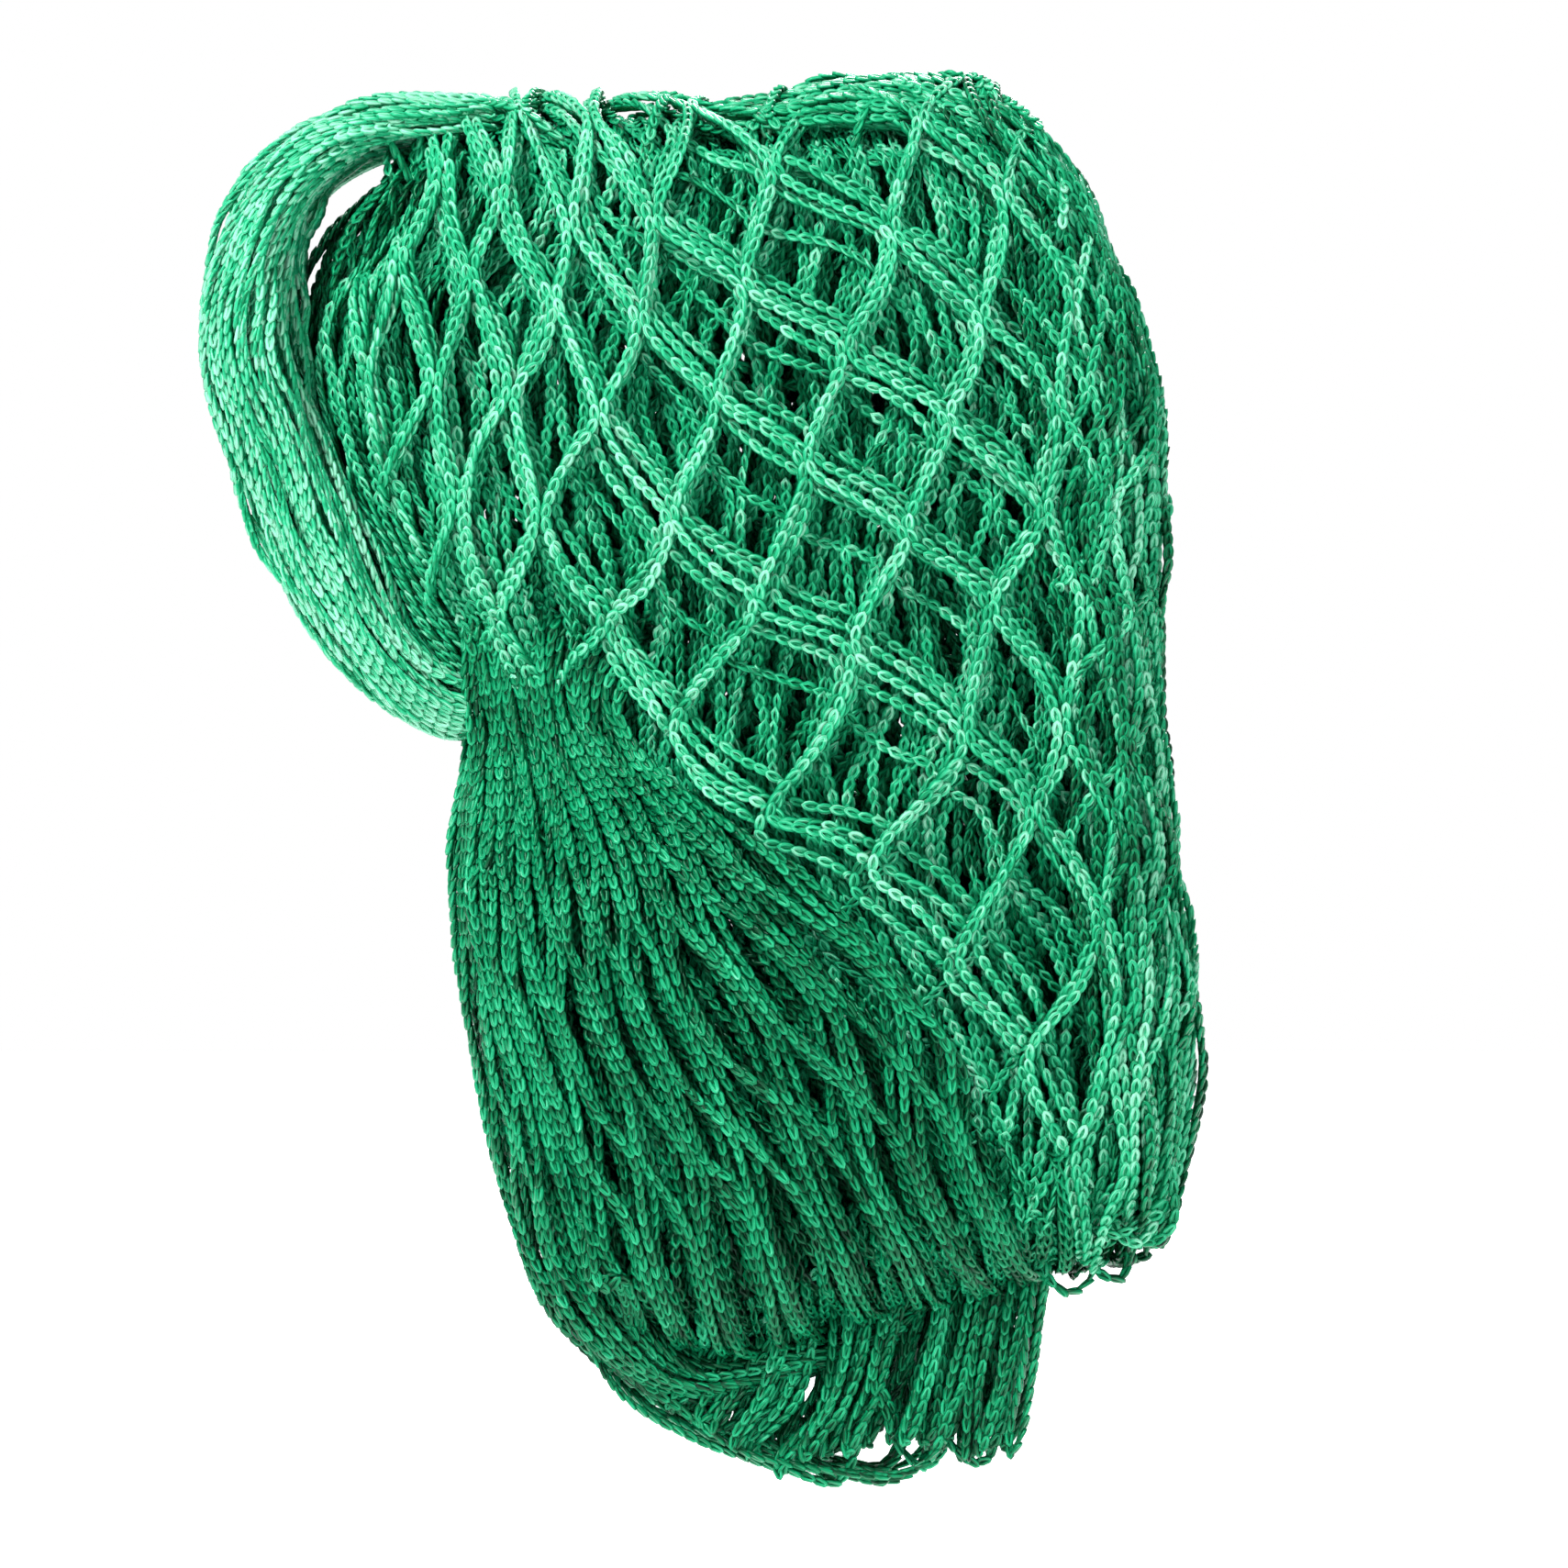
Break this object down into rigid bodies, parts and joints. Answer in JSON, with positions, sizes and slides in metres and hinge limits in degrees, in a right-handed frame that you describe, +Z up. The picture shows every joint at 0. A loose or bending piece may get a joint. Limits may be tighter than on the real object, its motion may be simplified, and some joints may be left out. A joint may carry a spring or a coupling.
{
  "type": "folded knotless fishing net",
  "caption": "Green knotless diamond mesh fishing net, folded into a thick bundle that is gathered at the waist and hangs from the grip.",
  "frame": {"origin": "grip point in the gathered waist, half way through the depth of the bundle", "axes": "+Z up along the hanging bundle, +X to the right as seen from the front, front face towards -Y"},
  "size_m": [0.256, 0.088, 0.366],
  "materials": {
    "open_net": "semi-gloss knitted polyethylene strand",
    "folded_net": "semi-gloss knitted polyethylene strand, shaded by the layers in front",
    "inner_net": "semi-gloss knitted polyethylene strand, deep in the bundle"
  },
  "bodies": {
    "upper_bundle": {"upper_front_net": "open_net", "upper_front_fold": "folded_net", "upper_core_front": "inner_net", "upper_core_back": "inner_net", "upper_back_fold": "folded_net", "upper_back_net": "open_net", "left_gather_front": "open_net", "left_gather_back": "open_net", "top_fold": "open_net", "upper_right_edge": "folded_net"},
    "lower_bundle": {"lower_front_net": "open_net", "lower_front_fold": "folded_net", "lower_core_front": "inner_net", "lower_core_back": "inner_net", "lower_back_fold": "folded_net", "lower_back_net": "open_net", "left_sweep": "open_net", "lower_right_edge": "folded_net", "corner_lobe": "open_net", "bottom_fold_front": "open_net", "bottom_fold_back": "open_net"},
    "tail_flap": {"tail_front": "open_net", "tail_middle": "folded_net", "tail_back": "open_net", "tail_loops": "open_net"}
  },
  "joints": [
    {"name": "waist_swing", "type": "hinge", "parent": "upper_bundle", "child": "lower_bundle", "pos_m": [0.06, 0, -0.02], "axis": [1, 0, 0], "range_deg": [-12, 12]},
    {"name": "tail_swing", "type": "hinge", "parent": "lower_bundle", "child": "tail_flap", "pos_m": [0.07, 0, -0.15], "axis": [1, 0, 0], "range_deg": [-10, 15]}
  ]
}
